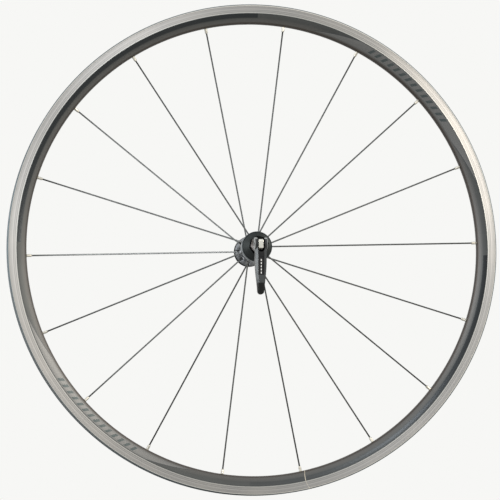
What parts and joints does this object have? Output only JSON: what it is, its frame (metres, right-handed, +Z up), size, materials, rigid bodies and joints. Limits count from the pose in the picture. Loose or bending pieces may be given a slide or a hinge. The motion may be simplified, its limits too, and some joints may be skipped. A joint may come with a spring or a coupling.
{
  "type": "front bicycle wheel",
  "caption": "Bare front road-bicycle wheel: hooked alloy rim, radial straight-pull spokes, drum-flange hub and quick-release skewer with lever.",
  "frame": {"origin": "centre of the wheel, on the axle's axis in the rim's middle plane", "axes": "+Y along the axle towards the adjusting nut, so the lever is on the -Y side; +Z up; +X to the right when looking along +Y"},
  "size_m": [0.634, 0.1641, 0.634],
  "materials": {
    "rim_alloy": "dark anodised, with machined brake tracks",
    "nipple": "plain silver",
    "spoke_black": "blackened stainless",
    "hub_black": "black anodised",
    "cover_black": "satin black anodised",
    "axle_steel": "turned",
    "bearing_steel": "ground",
    "seal_rubber": "moulded",
    "cage_plastic": "moulded",
    "cap_grey": "grey anodised",
    "lever_black": "black anodised, forged",
    "bright_steel": "bright plated",
    "spring_steel": "drawn wire"
  },
  "bodies": {
    "axle": {"axle": "axle_steel", "left_bearing_inner_ring": "bearing_steel", "left_spacer": "axle_steel", "left_locknut": "axle_steel", "right_bearing_inner_ring": "bearing_steel", "right_spacer": "axle_steel", "right_locknut": "axle_steel"},
    "wheel": {"rim": "rim_alloy", "spoke_nipples": "nipple", "hub_shell": "hub_black", "spoke_01": "spoke_black", "spoke_02": "spoke_black", "spoke_03": "spoke_black", "spoke_04": "spoke_black", "spoke_05": "spoke_black", "spoke_06": "spoke_black", "spoke_07": "spoke_black", "spoke_08": "spoke_black", "spoke_09": "spoke_black", "spoke_10": "spoke_black", "spoke_11": "spoke_black", "spoke_12": "spoke_black", "spoke_13": "spoke_black", "spoke_14": "spoke_black", "spoke_15": "spoke_black", "spoke_16": "spoke_black", "spoke_17": "spoke_black", "spoke_18": "spoke_black", "left_dust_cover": "cover_black", "left_bearing_outer_ring": "bearing_steel", "left_bearing_seals": "seal_rubber", "right_dust_cover": "cover_black", "right_bearing_outer_ring": "bearing_steel", "right_bearing_seals": "seal_rubber"},
    "ball_sets": {"bearing_balls": "bearing_steel", "left_ball_cage": "cage_plastic", "right_ball_cage": "cage_plastic"},
    "quick_release_cap": {"qr_cap": "cap_grey", "cap_grip_ring": "bright_steel", "cap_spring": "spring_steel"},
    "lever": {"qr_lever": "lever_black", "cam_pin": "bright_steel"},
    "skewer": {"skewer_rod": "bright_steel", "nut_spring": "spring_steel"},
    "nut": {"adjusting_nut": "cap_grey", "nut_grip_ring": "bright_steel"}
  },
  "joints": [
    {"name": "wheel_spin", "type": "hinge", "parent": "axle", "child": "wheel", "pos_m": [0, 0, 0], "axis": [0, 1, 0], "continuous": true},
    {"name": "ball_orbit", "type": "hinge", "parent": "axle", "child": "ball_sets", "pos_m": [0, 0, 0], "axis": [0, 1, 0], "continuous": true},
    {"name": "quick_release_swivel", "type": "hinge", "parent": "axle", "child": "quick_release_cap", "pos_m": [0, 0, 0], "axis": [0, 1, 0], "continuous": true},
    {"name": "lever_swing", "type": "hinge", "parent": "quick_release_cap", "child": "lever", "pos_m": [0, -0.078, 0], "axis": [-1, 0, 0], "range_deg": [0, 170]},
    {"name": "rod_slide", "type": "slide", "parent": "quick_release_cap", "child": "skewer", "axis": [0, 1, 0], "range_m": [0, 0.0025]},
    {"name": "nut_turn", "type": "hinge", "parent": "skewer", "child": "nut", "pos_m": [0, 0, 0], "axis": [0, 1, 0], "continuous": true}
  ],
  "couplings": [
    {"joint": "ball_orbit", "follows": "wheel_spin", "ratio": 0.59922},
    {"joint": "rod_slide", "follows": "lever_swing", "m_per_rad": 0.00082761}
  ]
}
